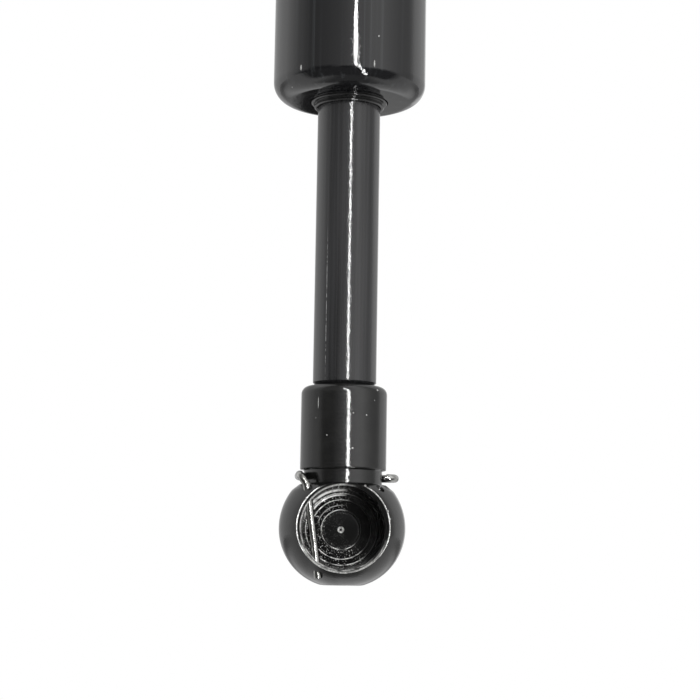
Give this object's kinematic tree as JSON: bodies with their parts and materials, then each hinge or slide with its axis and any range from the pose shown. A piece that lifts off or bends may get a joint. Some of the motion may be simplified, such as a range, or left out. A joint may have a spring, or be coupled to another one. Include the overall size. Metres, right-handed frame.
{
  "type": "gas strut",
  "caption": "short gas strut for a cabinet door, stretched out: black tube, sliding rod, and a steel ball socket with a wire safety clip on each end",
  "frame": {"origin": "centre of the ball seat in the socket on the tube's end", "axes": "+Z runs along the strut from the rod's end to the tube's end, and -Y is the way both ball cavities open, towards the camera of the picture"},
  "size_m": [0.0195, 0.0194, 0.1791],
  "materials": {
    "tube_lacquer": "gloss black lacquer on steel tube",
    "rod_black": "satin black salt-bath nitrided steel",
    "socket_black": "semi-gloss black coating on steel, with small specks",
    "spring_wire": "bright drawn spring wire",
    "plain_steel": "turned steel",
    "guide_alloy": "turned alloy",
    "bush_bronze": "sintered bronze",
    "wiper_plastic": "smooth black polyurethane",
    "ring_plastic": "filled sliding plastic",
    "black_rubber": "smooth black rubber"
  },
  "bodies": {
    "cylinder": {"cylinder_tube": "tube_lacquer", "end_plug": "plain_steel", "end_plug_o_ring": "black_rubber", "wiper_ring": "wiper_plastic", "rod_guide": "guide_alloy", "guide_bush": "bush_bronze", "guide_o_ring": "black_rubber", "rod_seal": "black_rubber", "seal_support_washer": "plain_steel", "tube_ball_socket": "socket_black"},
    "sliding_ring": {"piston_ring": "ring_plastic"},
    "rod": {"piston_rod": "rod_black", "piston_stop_washer": "plain_steel", "piston": "guide_alloy", "throttle_disc": "plain_steel", "rivet_washer": "plain_steel", "rod_ball_socket": "socket_black"},
    "rod_clip": {"rod_safety_clip": "spring_wire"},
    "tube_clip": {"tube_safety_clip": "spring_wire"}
  },
  "joints": [
    {"name": "rod_slide", "type": "slide", "parent": "cylinder", "child": "sliding_ring", "axis": [0, 0, 1], "range_m": [0, 0.03], "stiffness_N_per_m": 600, "springref_m": -0.1},
    {"name": "rod_spin", "type": "hinge", "parent": "sliding_ring", "child": "rod", "pos_m": [0, 0, -0.165], "axis": [0, 0, 1], "continuous": true},
    {"name": "rod_clip_swing", "type": "hinge", "parent": "rod", "child": "rod_clip", "pos_m": [-0.00381, -0.00405, -0.165], "axis": [-0.1392, 0, 0.9903], "range_deg": [0, 90]},
    {"name": "tube_clip_swing", "type": "hinge", "parent": "cylinder", "child": "tube_clip", "pos_m": [0.00381, -0.00405, 0], "axis": [0.1392, 0, -0.9903], "range_deg": [0, 90]}
  ]
}
